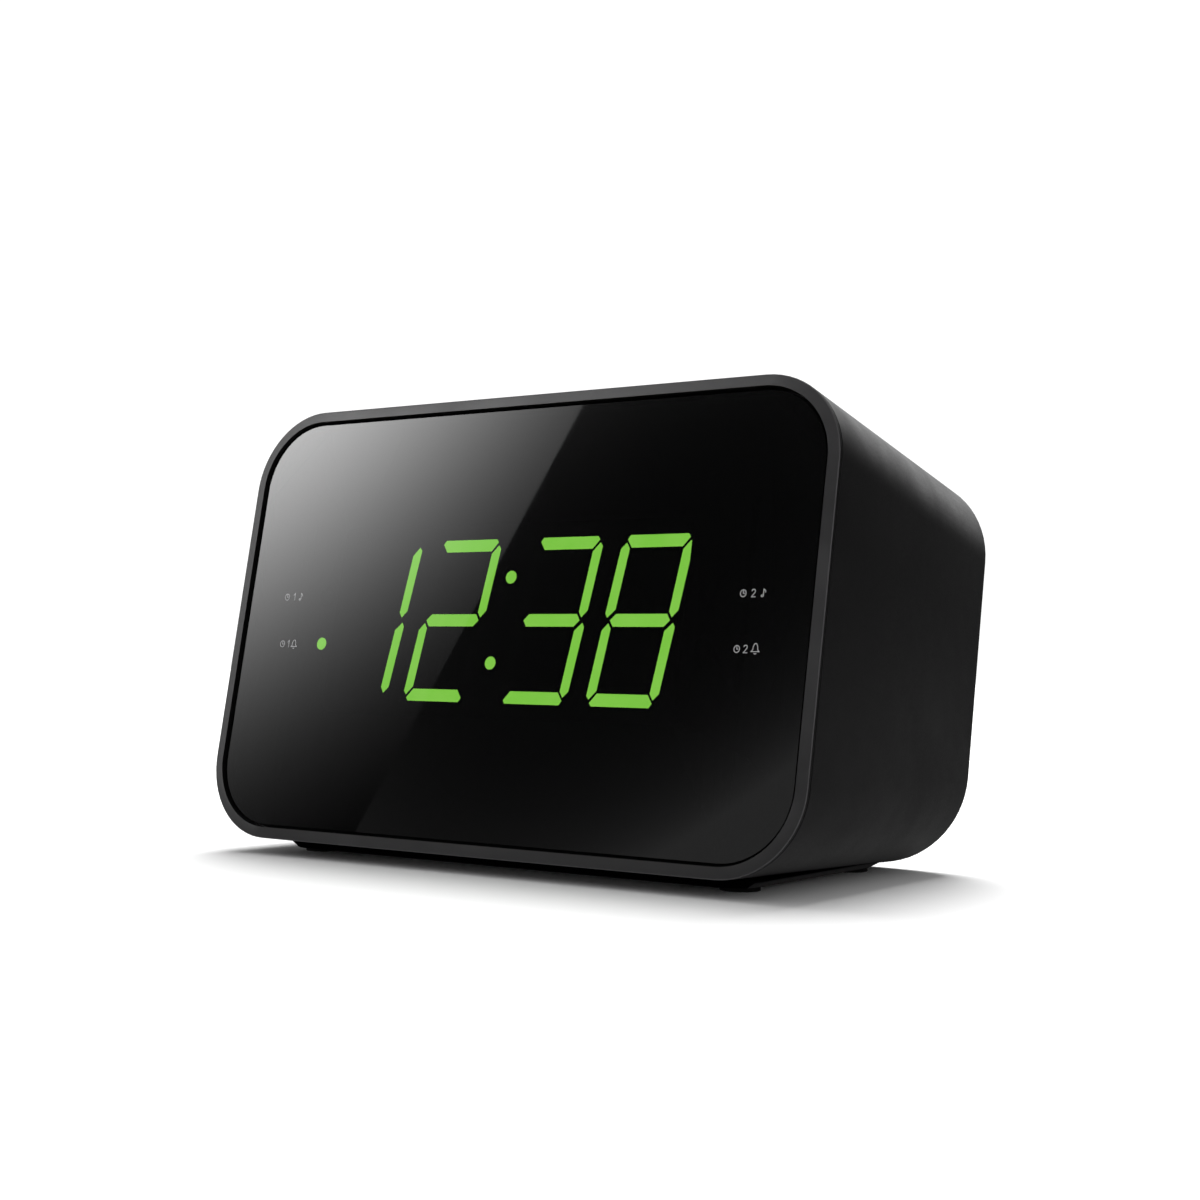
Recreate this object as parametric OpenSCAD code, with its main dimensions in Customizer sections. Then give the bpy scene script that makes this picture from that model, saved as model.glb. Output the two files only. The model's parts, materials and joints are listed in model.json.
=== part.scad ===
// Clock radio: a leaning, tapered sleeve with a ring-framed lens in front,
// keys on top, a speaker in the rear cover and a backup battery bay below.
// Z is up, Z = 0 is the table, X runs across the face, the face looks to -Y.

/* [Front face] */
// Width of the front face
face_w = 152; // [150:0.5:156]
// Height of the front face, measured along its slope
face_h = 98.5; // [97:0.5:100]
// Corner radius of the front face
face_r = 17.9; // [16:0.1:19]
// Backward lean of the front face, in degrees
lean = 10; // [9:0.5:11]
// Height of the face centre above the table
face_z = 52.05; // [51.8:0.05:53]
// Distance of the face centre in front of the origin
face_y = 36.76; // [35:0.01:39]
// Width of the ring round the lens
ring_w = 2.44; // [2:0.02:3]
// How far the inner edge of the ring stands proud of its outer edge
ring_crest = 0.44; // [0.2:0.02:0.8]

/* [Sleeve] */
// Depth of the sleeve, square to the face
body_d = 74.96; // [73:0.02:77]
// Width of the sleeve at its rear edge
rear_w = 150.5; // [149:0.5:152]
// How much lower the top is at the rear, square to the depth
top_drop = 0.77; // [0:0.01:1.5]
// How much higher the bottom is at the rear, square to the depth
bottom_rise = 10.75; // [10:0.05:11.5]
// Corner radius at the rear edge
rear_r = 19.6; // [18:0.1:20]
// Wall thickness
wall = 2; // [1.8:0.1:2.2]

/* [Lens and display] */
// Thickness of the lens
lens_t = 2.65; // [2:0.05:3]
// Depth of the lens front behind the plane of the ring's outer edge
lens_s = 0.38; // [0.3:0.01:1.2]
// Gap between the edge of the lens and the ring
lens_gap = 0.7; // [0.1:0.05:1]
// Sideways lean of the digits, as width over height
slant = 0.1386; // [0:0.0001:0.2]
// Sideways place of the middle of the display
dig_u = -1.97; // [-3:0.01:3]
// Height of the digits' centres on the face
dig_v = 0.78; // [-3:0.01:3]
// Distance between the two digits of a pair
dig_pitch = 21.8; // [21:0.05:22.5]
// Distance between the two pairs' inner digits
dig_gap = 26.2; // [25:0.05:27]
// Radius of the colon dots and alarm dots
dot_r = 1.4; // [1:0.05:1.6]

/* [Keys] */
// Width of a small key
key_w = 11; // [9:0.5:11]
// Depth of a small key
key_d = 8.4; // [7:0.2:8.4]
// Width of the snooze bar
snooze_w = 52; // [40:1:52]
// Depth of the snooze bar
snooze_d = 20; // [14:1:20]
// Gap round each key
key_gap = 0.35; // [0.3:0.05:0.5]
// Travel of a key when it is pressed
key_travel = 0.6; // [0.3:0.1:0.6]

/* [Speaker] */
// Height of the speaker's axis on the rear cover
spk_v = 8; // [7:0.5:9]
// Radius of the speaker's flange
spk_r = 28; // [27:0.5:28]
// Radius of one sound hole
sound_r = 1.05; // [0.8:0.05:1.2]

/* [Base and battery bay] */
// Length of the base plate
base_w = 124; // [120:1:124]
// Width of the base plate
base_l = 63; // [60:1:63]
// How far the base plate's side walls draw in towards the floor
side_draft = 2.8; // [0:0.1:2.9]
// How far its rear wall draws in towards the floor
rear_draft = 2.5; // [0:0.1:2.8]
// How far its front wall draws in towards the floor
front_draft = 1; // [0:0.1:1.2]
// Height of the feet under the base plate
foot_h = 1; // [0.8:0.1:1.2]
// Radius of a foot
foot_r = 4; // [3:0.5:4.5]
// Inner length of the battery bay
bay_w = 51; // [50:0.5:52]
// Inner width of the battery bay
bay_l = 22.5; // [22:0.5:23]

/* [Hidden] */
$fn = 48;

// Sleeve cross-section at depth s behind the face plane, pulled in by inset:
// [depth, half width, top, bottom, corner radius]
function sec(s, inset) = [
    s,
    face_w/2 - (face_w - rear_w)/2*s/body_d - inset,
    face_h/2 - top_drop*s/body_d - inset,
    -face_h/2 + bottom_rise*s/body_d + inset,
    face_r + (rear_r - face_r)*s/body_d - inset
];
function top_v(s) = face_h/2 - top_drop*s/body_d;
function ring_pts(q, m) = [
    for (c = [0:3]) for (i = [0:m]) let (
        a = c*90 + i*90/m,
        cx = (c == 0 || c == 3) ? q[1] - q[4] : q[4] - q[1],
        cz = c < 2 ? q[2] - q[4] : q[3] + q[4]
    ) [cx + q[4]*cos(a), q[0], cz + q[4]*sin(a)]
];

// Where the top of each pressed part sits: [u, s]
key_col = [36, 50.5];
key_row = [15.6, 26.6];
snooze_at = [0, 21.1];
alarm_1_at = [-key_col[1], key_row[0]];
alarm_2_at = [-key_col[0], key_row[0]];
set_at = [-key_col[1], key_row[1]];
power_at = [-key_col[0], key_row[1]];
volume_down_at = [key_col[0], key_row[0]];
volume_up_at = [key_col[1], key_row[0]];
tune_down_at = [key_col[0], key_row[1]];
tune_up_at = [key_col[1], key_row[1]];
switch_at = [snooze_at, alarm_1_at, alarm_2_at, set_at, power_at,
             volume_down_at, volume_up_at, tune_down_at, tune_up_at];

// Heights in the leaning frame
key_pcb_v = 38;
pcb_t = 1.6;
plunger_v = 44.3;

// Depths in the leaning frame
sleeve_s = 0.95;          // front edge of the sleeve
tongue_s = 4.8;           // rear face of the bezel's tongue
seat_s = lens_s + lens_t; // rear face of the lens
refl_s = 3.4;             // front of the segment block
refl_e = 11.5;            // rear of the segment block
post_u = 69;              // posts for the display board
cover_s = 72.1;           // inner face of the rear cover
cover_e = 74.3;           // outer face of the rear cover
rear_top = [65.1, 38.9];  // upper screws of the rear cover
rear_low = [64.9, -29.5]; // lower screws of the rear cover

// Base plate and battery bay
base_y = -5.5;
bay_y = -4;
floor_z = 5.6;
board_z = 17.5;
base_e = 3;
base_screw_y = [-32, 19];
foot_y = [-29, 18];
hinge_y = bay_y + 12.4;
hinge_z = 1.9;
jack_x = 44;
jack_z = 24.6;

// Digit centres, left to right
dig_at = [-dig_gap/2 - dig_pitch, -dig_gap/2, dig_gap/2, dig_gap/2 + dig_pitch];
// Segment outlines of an upright digit about its centre
seg_a = [[-7.4, 16.8], [-6.9, 17.7], [6.95, 17.7], [7.55, 17.0], [6.15, 15.05], [-6.0, 15.05]];
seg_b = [[7.85, 16.35], [8.6, 15.6], [8.6, 2.1], [7.4, 0.6], [6.5, 1.75], [6.4, 14.5]];
seg_f = [[-7.4, 16.15], [-6.4, 14.85], [-6.4, 2.2], [-8.0, 0.5], [-8.65, 1.4], [-8.55, 14.85]];
seg_g = [[-7.15, 0], [-6.0, 1.33], [6.15, 1.33], [7.15, 0], [6.0, -1.33], [-6.15, -1.33]];
function turned(p) = [for (q = p) [-q[0], -q[1]]];
segs = [seg_a, seg_b, turned(seg_f), turned(seg_a), turned(seg_b), seg_f, seg_g];
function mean(p) = [for (k = [0, 1]) (p[0][k] + p[1][k] + p[2][k] + p[3][k] + p[4][k] + p[5][k])/6];
// Which of segments a to g are lit in each digit, for 12:38
lit = [[0, 1, 1, 0, 0, 0, 0], [1, 1, 0, 1, 1, 0, 1], [1, 1, 1, 1, 0, 0, 1], [1, 1, 1, 1, 1, 1, 1]];
// Colon and alarm dots: [u, v, lit]
dots = [[-0.67, 10.1, 1], [-3.32, -8.4, 1], [-51.95, -4.6, 1], [-51.95, 6.1, 0], [48.5, 6.1, 0], [48.5, -4.6, 0]];

// ---------- helpers ----------

// Moves children from the leaning frame (u across, s into the body, v up the face)
module leaning() { translate([0, -face_y, face_z]) rotate([-lean, 0, 0]) children(); }

// Solid through several cross-sections
module loft(secs, m = 16) {
    n = 4*(m + 1);
    k = len(secs);
    polyhedron(
        points = [for (q = secs) each ring_pts(q, m)],
        faces = concat(
            [[for (i = [n - 1:-1:0]) i]],
            [for (j = [0:k - 2]) for (i = [0:n - 1]) let (h = (i + 1)%n)
                for (f = [[j*n + i, j*n + h, (j + 1)*n + h], [j*n + i, (j + 1)*n + h, (j + 1)*n + i]]) f],
            [[for (i = [0:n - 1]) (k - 1)*n + i]]
        )
    );
}

// Rounded rectangle, centred
module rr2(w, h, r) {
    square([w, h - 2*r], center = true);
    square([w - 2*r, h], center = true);
    for (x = [-1, 1]) for (y = [-1, 1]) translate([x*(w/2 - r), y*(h/2 - r)]) circle(r);
}
// Face outline pulled in by inset
module face2(inset) { rr2(face_w - 2*inset, face_h - 2*inset, face_r - inset); }
// Extrudes a (u, v) outline from depth s0 to s1
module sx(s0, s1) { translate([0, s1, 0]) rotate([90, 0, 0]) linear_extrude(s1 - s0) children(); }
// Cylinder along the depth
module cs(u, v, s0, s1, r) { translate([u, s0, v]) rotate([-90, 0, 0]) cylinder(h = s1 - s0, r = r); }
// Cylinder along the height
module cv(u, s, v0, v1, r) { translate([u, s, v0]) cylinder(h = v1 - v0, r = r); }
// Upright box given by its lowest and highest corners
module bx(a, b) { translate(a) cube(b - a); }
// Turned shape about the speaker's axis, outline as [radius, depth]
module spun(pts) { translate([0, 0, spk_v]) rotate([-90, 0, 0]) rotate_extrude($fn = 64) polygon(pts); }
// Rounds off the corners of a path
function soft(p, n) = n == 0 ? p : soft([p[0], for (i = [0:len(p) - 2]) each [p[i]*0.75 + p[i + 1]*0.25, p[i]*0.25 + p[i + 1]*0.75], p[len(p) - 1]], n - 1);
function unit(a) = a/norm(a);
function circ(r, n) = [for (j = [0:n - 1]) [r*cos(j*360/n), r*sin(j*360/n)]];
// Carries a cross-section along a path; ref is a direction the path never takes
module sweep(path, shape, ref) {
    m = len(shape);
    k = len(path);
    pts = [for (i = [0:k - 1]) let (
        t = unit(path[min(i + 1, k - 1)] - path[max(i - 1, 0)]),
        a = unit(cross(t, ref)),
        b = cross(t, a)
    ) for (q = shape) path[i] + q[0]*a + q[1]*b];
    polyhedron(points = pts, faces = concat(
        [[for (j = [0:m - 1]) j]],
        [for (i = [0:k - 2]) for (j = [0:m - 1]) let (n = (j + 1)%m)
            for (f = [[i*m + j, (i + 1)*m + j, (i + 1)*m + n], [i*m + j, (i + 1)*m + n, i*m + n]]) f],
        [[for (j = [m - 1:-1:0]) (k - 1)*m + j]]
    ));
}
// Round wire, and a flat ribbon w wide across X
module wire(p, r) { sweep(soft(p, 3), circ(r, 10), [0, 1, 0]); }
module ribbon(x, w, t, p) {
    sweep(soft([for (q = p) [x + w/2, q[0], q[1]]], 3), [[-t/2, -w/2], [t/2, -w/2], [t/2, w/2], [-t/2, w/2]], [1, 0, 0]);
}

// Screw along +Z with its head's underside at 0: shaft down, head up
module screw(shaft, r, head_r, head_h) {
    difference() {
        union() {
            translate([0, 0, -shaft]) cylinder(h = shaft + 0.01, r = r);
            cylinder(h = head_h, r = head_r);
        }
        for (a = [0, 90]) rotate(a) translate([-head_r*0.55, -0.3, head_h - 0.7]) cube([head_r*1.1, 0.6, 1]);
    }
}

// ---------- front ----------

module front_bezel() color("#3b3b3d") leaning() difference() {
    union() {
        loft([sec(-ring_crest, ring_w), sec(-0.08, 0.3), sec(-0.03, 0.16), sec(0.05, 0.05), sec(0.18, 0), sec(0.6, 0)]);
        loft([sec(0.5, 1.15), sec(tongue_s, 1.15)]);
        for (x = [-1, 1]) for (z = [-1, 1]) {
            cs(x*66, z*38.5, 4, 7.9, 3.4);
            cs(x*post_u, z*14, refl_s, refl_e, 2.8);
        }
    }
    sx(-1, seat_s + 0.2) face2(ring_w);
    difference() {
        sx(-1, tongue_s + 0.1) face2(6);
        for (x = [-1, 1]) for (z = [-1, 1]) {
            cs(x*66, z*38.5, seat_s + 0.2, 7.9, 3.4);
            cs(x*post_u, z*14, refl_s, refl_e, 2.8);
        }
    }
    for (x = [-1, 1]) for (z = [-1, 1]) {
        cs(x*66, z*38.5, 4.9, 8, 1.2);
        cs(x*post_u, z*14, 5.4, 12, 1.2);
    }
}

module display_lens() color("#08080a") leaning() sx(lens_s, seat_s) face2(ring_w + lens_gap);

// black film on the back of the lens, with windows for the digits and the alarm dots
module lens_mask() color("#0c0c0c") leaning() sx(seat_s, seat_s + 0.2) difference() {
    face2(ring_w + 0.15);
    translate([dig_u - 0.6, dig_v]) rr2(92, 42, 2);
    for (p = dots) translate([p[0], p[1]]) circle(dot_r + 0.5);
}

// ---------- display ----------

module seg2(d, k) {
    translate([dig_u + dig_at[d], dig_v])
        polygon([for (q = segs[k]) [q[0] + slant*q[1], q[1]]]);
}

module segments(on, s0, s1) {
    for (d = [0:3]) for (k = [0:6]) if (lit[d][k] == on) sx(s0, s1) seg2(d, k);
}

module display_reflector() color("#d8d8d4") leaning() difference() {
    sx(refl_s, refl_e) translate([dig_u, 0.3]) rr2(122, 46, 2);
    segments(1, refl_s - 1, refl_e + 1);
    segments(0, refl_s - 1, refl_e + 1);
    for (p = dots) cs(p[0], p[1], refl_s - 1, refl_e + 1, dot_r);
}

module lit_segments() color("#7fe03f") leaning() segments(1, refl_s, refl_s + 1);

module unlit_segments() color("#30332e") leaning() {
    segments(0, refl_s, refl_s + 1);
    for (p = dots) if (p[2] == 0) cs(p[0], p[1], refl_s, refl_s + 1, dot_r);
}

module colon_and_dots() color("#7fe03f") leaning() for (p = dots) if (p[2] == 1) cs(p[0], p[1], refl_s, refl_s + 1, dot_r);

module display_leds() color("#e8e8d0") leaning() {
    for (d = [0:3]) for (k = [0:6]) let (q = mean(segs[k]))
        translate([dig_u + dig_at[d] + q[0] + slant*q[1], refl_e - 0.4, dig_v + q[1]]) cube([1.6, 0.8, 1.2], center = true);
    for (p = dots) translate([p[0], refl_e - 0.4, p[1]]) cube([1.6, 0.8, 1.2], center = true);
}

module display_pcb() color("#1f5a2e") leaning() difference() {
    sx(refl_e, refl_e + pcb_t) rr2(143, 52, 1.5);
    for (x = [-1, 1]) for (z = [-1, 1]) cs(x*post_u, z*14, refl_e - 1, refl_e + 3, 1.35);
}

// ---------- sleeve ----------

module top_hole(at, w, d, r) {
    translate([at[0], at[1], top_v(at[1]) - 6]) linear_extrude(12) rr2(w + 2*key_gap, d + 2*key_gap, r + key_gap);
}

module main_housing() color("#161617") difference() {
    union() {
        leaning() difference() {
            loft([sec(sleeve_s, 0.12), sec(sleeve_s + 0.14, 0), sec(body_d - 0.9, 0), sec(body_d - 0.4, 0.12), sec(body_d - 0.12, 0.4), sec(body_d, 0.9)]);
            loft([sec(-1, wall), sec(body_d + 1, wall)]);
            loft([sec(0, wall/2), sec(tongue_s + 0.5, wall/2)]);
        }
        // floor over the base plate
        intersection() {
            translate([0, base_y, -5]) linear_extrude(floor_z + 5) rr2(base_w + 4, base_l + 2.5, 9);
            leaning() loft([sec(sleeve_s + 1, 0.6), sec(body_d - 2, 0.6)]);
        }
        // bosses for the base screws, posts for the main board
        for (x = [-1, 1]) {
            for (y = base_screw_y) translate([x*44, y, base_e + 1]) cylinder(h = 8, r = 3.2);
            for (y = [-19, 20]) translate([x*53, y, base_e + 1]) cylinder(h = board_z - base_e - 1, r = 3);
        }
        leaning() {
            // lugs for the bezel screws, posts for the rear cover
            for (x = [-1, 1]) for (z = [-1, 1]) cs(x*66, z*38.5, 8, 10.4, 5.5);
            for (x = [-1, 1]) {
                cs(x*rear_top[0], rear_top[1], 64, cover_s, 4);
                cs(x*rear_low[0], rear_low[1], 64, cover_s, 4);
                // bosses for the key board
                for (s = [7.7, 34.6]) cv(x*43.2, s, key_pcb_v + pcb_t, face_h/2 - 1.5, 2.3);
            }
        }
    }
    // seat for the base plate, and the battery bay through the floor
    translate([0, base_y, -5]) linear_extrude(base_e + 5) rr2(base_w + 0.5, base_l + 0.5, 8.25);
    bx([-27.8, bay_y - 13.3, -1], [27.8, bay_y + 13.3, 10]);
    for (x = [-1, 1]) {
        for (y = base_screw_y) translate([x*44, y, 0]) cylinder(h = 11, r = 1.25);
        for (y = [-19, 20]) translate([x*53, y, 9]) cylinder(h = 20, r = 1.2);
    }
    leaning() {
        top_hole(snooze_at, snooze_w, snooze_d, 6);
        for (i = [1:8]) top_hole(switch_at[i], key_w, key_d, 1.6);
        for (x = [-1, 1]) {
            for (z = [-1, 1]) cs(x*66, z*38.5, 7, 11, 1.5);
            for (q = [rear_top, rear_low]) cs(x*q[0], q[1], 65, 75, 1.25);
            for (s = [7.7, 34.6]) cv(x*43.2, s, 39, 45, 1.2);
        }
    }
}

// ---------- keys ----------

module cap(at, w, d, r, up) {
    v = top_v(at[1]);
    translate([at[0], at[1], 0]) {
        translate([0, 0, v - wall - 0.2]) linear_extrude(wall + 0.2 + up - 0.5) rr2(w, d, r);
        translate([0, 0, v + up - 0.51]) linear_extrude(0.51) rr2(w - 0.7, d - 0.7, r - 0.35);
        translate([0, 0, v - wall - 1.2]) linear_extrude(1) rr2(w + 2, d + 2, r + 1);
        translate([0, 0, plunger_v]) cylinder(h = v - wall - 1.1 - plunger_v, r = 1.5);
    }
}

module small_key(at) color("#1b1b1d") leaning() cap(at, key_w, key_d, 1.6, 1.3);

module snooze_bar() color("#1b1b1d") leaning() {
    cap(snooze_at, snooze_w, snooze_d, 6, 2);
    // ribs that keep the bar level
    for (x = [-1, 1]) translate([x*16 - 0.6, snooze_at[1] - 6, plunger_v + 0.4]) cube([1.2, 12, 1.6]);
}

module plunger(at) color("#8a2f22") leaning() cv(at[0], at[1], plunger_v - 2, plunger_v, 1.55);

module tact_switches() color("#2a2a2a") leaning() for (p = switch_at) difference() {
    translate([p[0] - 3, p[1] - 3, key_pcb_v + pcb_t]) cube([6, 6, 3.7]);
    cv(p[0], p[1], plunger_v - 2.8, plunger_v, 1.9);
}

module key_pcb() color("#1f5a2e") leaning() difference() {
    translate([0, 21.25, key_pcb_v]) linear_extrude(pcb_t) rr2(118, 31.9, 1.5);
    for (x = [-1, 1]) for (s = [7.7, 34.6]) cv(x*43.2, s, key_pcb_v - 1, key_pcb_v + 3, 1.35);
}

// ---------- rear cover and speaker ----------

module rear_cover() color("#161617") leaning() difference() {
    union() {
        loft([sec(cover_s, wall + 0.2), sec(cover_e, wall + 0.2)]);
        for (a = [45:90:315]) cs(31*cos(a), spk_v + 31*sin(a), cover_s - 1.7, cover_s + 0.5, 2.6);
    }
    cs(0, spk_v, cover_s - 1, cover_e + 1, 25);
    cs(0, spk_v, cover_e - 1, cover_e + 1, 27);
    for (a = [45:90:315]) cs(31*cos(a), spk_v + 31*sin(a), cover_s - 3, cover_e - 0.8, 1.2);
    for (x = [-1, 1]) for (q = [rear_top, rear_low]) {
        cs(x*q[0], q[1], cover_s - 1, cover_e + 1, 1.5);
        cs(x*q[0], q[1], cover_e - 1.2, cover_e + 1, 3.1);
    }
    // vents
    for (x = [-1, 1]) for (i = [0:5]) {
        translate([x*47 - 8, cover_s - 1, 22 + i*3.6]) cube([16, 5, 1.6]);
        for (e = [-8, 8]) cs(x*47 + e, 22.8 + i*3.6, cover_s - 1, cover_e + 1, 0.8);
    }
    // antenna wire outlet
    cs(-44, -15, cover_s - 1, cover_e + 1, 2.6);
    // power inlet, level with the table
    rotate([lean, 0, 0]) translate([jack_x, 40, jack_z - face_z]) rotate([-90, 0, 0]) cylinder(h = 60, r = 5.4);
}

module speaker_grille() color("#202022") leaning() difference() {
    cs(0, spk_v, cover_e - 1, cover_e, 26.8);
    for (k = [0:6]) for (i = [0:max(0, 6*k - 1)]) let (a = k == 0 ? 0 : i*60/k)
        cs(3.7*k*cos(a), spk_v + 3.7*k*sin(a), cover_e - 2, cover_e + 1, sound_r);
}

module speaker_cloth() color("#101010") leaning() cs(0, spk_v, cover_s - 0.3, cover_s, 27);

module speaker_basket() color("#8d9094") leaning() difference() {
    spun([[9, 54], [14.5, 54], [26, 70.4], [spk_r, 70.4], [spk_r, 71.8], [24.5, 71.8], [24.5, 70.9], [13.6, 55], [9, 55]]);
    for (a = [0:90:270]) translate([0, 0, spk_v]) rotate([0, a, 0]) bx([16, 58.5, -6], [30, 66, 6]);
}

module speaker_magnet() color("#2c2c2e") leaning() spun([[8.5, 46.5], [15, 46.5], [15, 52], [8.5, 52]]);

module speaker_yoke() color("#9fa2a6") leaning() spun([[0, 44.5], [14, 44.5], [14, 46.5], [6, 46.5], [6, 54.5], [0, 54.5]]);

module speaker_top_plate() color("#9fa2a6") leaning() spun([[7.45, 52], [14, 52], [14, 54], [7.45, 54]]);

module voice_coil() color("#b8733a") leaning() spun([[6.4, 50.5], [7.1, 50.5], [7.1, 60.3], [6.4, 60.3]]);

module speaker_cone() color("#26262a") leaning() spun([[7.13, 59.7], [21.2, 69.3], [21.2, 69.9], [7.13, 60.4]]);

module dust_cap() color("#1c1c20") leaning() spun([[0, 61.9], [4.5, 61.5], [7.9, 60.98], [7.9, 61.3], [4.5, 62], [0, 62.4]]);

module speaker_surround() color("#17171a") leaning()
    spun([[21.22, 69.5], [21.6, 69.5], [22.4, 70.6], [23.4, 71], [24.4, 71], [24.4, 71.5], [23.2, 71.5], [22, 71.1], [21.22, 69.9]]);

module speaker_spider() color("#b58a3c") leaning() spun([[7.12, 57.2], [9, 57.6], [11, 57.2], [13, 57.6], [15.1, 57.2], [15.1, 57.6], [13, 58], [11, 57.6], [9, 58], [7.12, 57.6]]);

// ---------- base, feet and battery bay ----------

module base_plate() color("#121213") difference() {
    union() {
        // the walls draw in towards the floor, most at the sides and the rear
        hull() {
            translate([0, base_y, base_e - 0.4]) linear_extrude(0.4) rr2(base_w, base_l, 8, $fn = 32);
            translate([0, base_y + (front_draft - rear_draft)/2, foot_h]) linear_extrude(0.25)
                rr2(base_w - 2*side_draft, base_l - front_draft - rear_draft, 6, $fn = 32);
        }
        bx([-27.5, bay_y - 13, 2], [27.5, bay_y + 13, 15.5]);
    }
    // battery bay and its door opening
    bx([-bay_w/2, bay_y - bay_l/2, 0], [bay_w/2, bay_y + bay_l/2, 14]);
    bx([-27.3, bay_y - 13.3, 0], [27.3, hinge_y + 1, base_e - 0.3]);
    // hinge holes
    translate([-30, hinge_y, hinge_z]) rotate([0, 90, 0]) cylinder(h = 60, r = 0.68);
    for (x = [-1, 1]) for (y = base_screw_y) translate([x*44, y, 0]) {
        cylinder(h = 5, r = 1.5);
        cylinder(h = foot_h + 1.1, r = 3.1);
    }
    for (x = [-1, 1]) for (y = foot_y) translate([x*54.5, y, 0]) cylinder(h = foot_h + 0.6, r = foot_r + 0.2);
    // finger notch
    translate([0, bay_y - 13.3, 0]) cylinder(h = foot_h + 1, r = 5);
}

module battery_door() color("#121213") union() {
    bx([-27, bay_y - 13, hinge_z - 0.7], [27, hinge_y, hinge_z + 0.7]);
    translate([-27, hinge_y, hinge_z]) rotate([0, 90, 0]) cylinder(h = 54, r = 0.7);
    translate([-29, hinge_y, hinge_z]) rotate([0, 90, 0]) cylinder(h = 58, r = 0.6);
}

module rubber_feet() color("#232323") for (x = [-1, 1]) for (y = foot_y) translate([x*54.5, y, 0]) cylinder(h = foot_h + 0.55, r = foot_r);

module battery_contacts() color("#c9c9c4") for (x = [-1, 1]) {
    bx([min(x*(bay_w/2 - 0.05), x*(bay_w/2 - 0.35)), bay_y - 10.4, 4], [max(x*(bay_w/2 - 0.05), x*(bay_w/2 - 0.35)), bay_y - 0.4, 13]);
    bx([min(x*(bay_w/2 - 0.05), x*(bay_w/2 - 0.35)), bay_y + 0.4, 4], [max(x*(bay_w/2 - 0.05), x*(bay_w/2 - 0.35)), bay_y + 10.4, 13]);
}

// Conical coil along +X from the origin
function coil_r(t) = 3.6 - 1.8*t;
module coil(len, turns, w) {
    n = 12*turns;
    pts = [for (i = [0:n]) for (j = [0:5]) let (t = i/n, a = 30*i, b = 60*j, r = coil_r(t) + w*cos(b))
        [t*len + w*sin(b) + w, r*cos(a), r*sin(a)]];
    polyhedron(points = pts, faces = concat(
        [[0, 1, 2, 3, 4, 5]],
        [for (i = [0:n - 1]) for (j = [0:5]) for (q = [[6*i + j, 6*i + 6 + j, 6*i + (j + 1)%6], [6*i + (j + 1)%6, 6*i + 6 + j, 6*i + 6 + (j + 1)%6]]) q],
        [[6*n + 5, 6*n + 4, 6*n + 3, 6*n + 2, 6*n + 1, 6*n]]
    ));
}
module battery_springs() color("#d5d5d0") {
    translate([-bay_w/2 + 0.4, bay_y - 5.4, 8.5]) coil(3, 3, 0.3);
    translate([bay_w/2 - 0.4, bay_y + 5.4, 8.5]) mirror([1, 0, 0]) coil(3, 3, 0.3);
}

// ---------- main board ----------

module main_pcb() color("#1f5a2e") difference() {
    translate([0, 0.5, board_z]) linear_extrude(pcb_t) rr2(116, 49, 2);
    for (x = [-1, 1]) for (y = [-19, 20]) translate([x*53, y, 0]) cylinder(h = 30, r = 1.35);
}

module tuner_shield() color("#b9bcc0") bx([-40, -16, board_z + pcb_t], [-18, 0, board_z + pcb_t + 4]);

module pcb_chips() color("#1c1c1e") {
    bx([-6, -14, board_z + pcb_t], [8, -6, board_z + pcb_t + 2.2]);
    bx([14, -4, board_z + pcb_t], [20, 3, board_z + pcb_t + 1.6]);
    bx([30, -14, board_z + pcb_t], [35, -10, board_z + pcb_t + 1.5]);
}

module pcb_capacitors() color("#23304f") {
    translate([28, 8, board_z + pcb_t]) cylinder(h = 11, r = 4);
    translate([18, 14, board_z + pcb_t]) cylinder(h = 7, r = 2.5);
    translate([40, -4, board_z + pcb_t]) cylinder(h = 7, r = 2.5);
}

module lead_connectors() color("#e9e6da") {
    bx([-36, 3, board_z + pcb_t], [-18, 6.5, board_z + pcb_t + 3.42]);
    bx([-9, -22.5, board_z + pcb_t], [9, -19, board_z + pcb_t + 3.42]);
    bx([-34, 14, board_z + pcb_t], [-28, 17.5, board_z + pcb_t + 3.42]);
}

module internal_leads() color("#c8c8c8") {
    // ribbon from the key board and ribbon from the display board
    ribbon(-34, 14, 0.5, [[5.2, 82.9], [3.5, 70], [3, 45], [4.75, 30], [4.75, board_z + pcb_t + 3.42]]);
    ribbon(-7, 14, 0.5, [[-27.6, 27.5], [-24.5, 29.5], [-20.75, 27.5], [-20.75, board_z + pcb_t + 3.42]]);
    // two speaker leads
    wire([[-32, 15.75, board_z + pcb_t + 3.42], [-32, 16, 28], [-27, 17.5, 31], [-20, 20, 33.5], [-14.7, 23.1, 34.7]], 0.6);
    wire([[-30, 15.75, board_z + pcb_t + 3.42], [-30, 16, 25.5], [-25, 17.5, 28.5], [-18, 20, 31], [-12, 22.7, 32.4]], 0.6);
    // two battery leads
    wire([[-27.55, bay_y - 8, 9], [-30, bay_y - 8, 9], [-30, bay_y - 8, board_z - 0.02]], 0.5);
    wire([[27.55, bay_y + 8, 9], [30, bay_y + 8, 9], [30, bay_y + 8, board_z - 0.02]], 0.5);
}

// ---------- sockets ----------

module dc_jack() color("#151515") difference() {
    bx([jack_x - 4.5, 14.1, board_z + pcb_t], [jack_x + 4.5, 28.6, board_z + pcb_t + 11]);
    translate([jack_x, 19, jack_z]) rotate([-90, 0, 0]) cylinder(h = 12, r = 3.2);
}

module dc_jack_pin() color("#cfcfcf") translate([jack_x, 19, jack_z]) rotate([-90, 0, 0]) cylinder(h = 8.6, r = 1);

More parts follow.
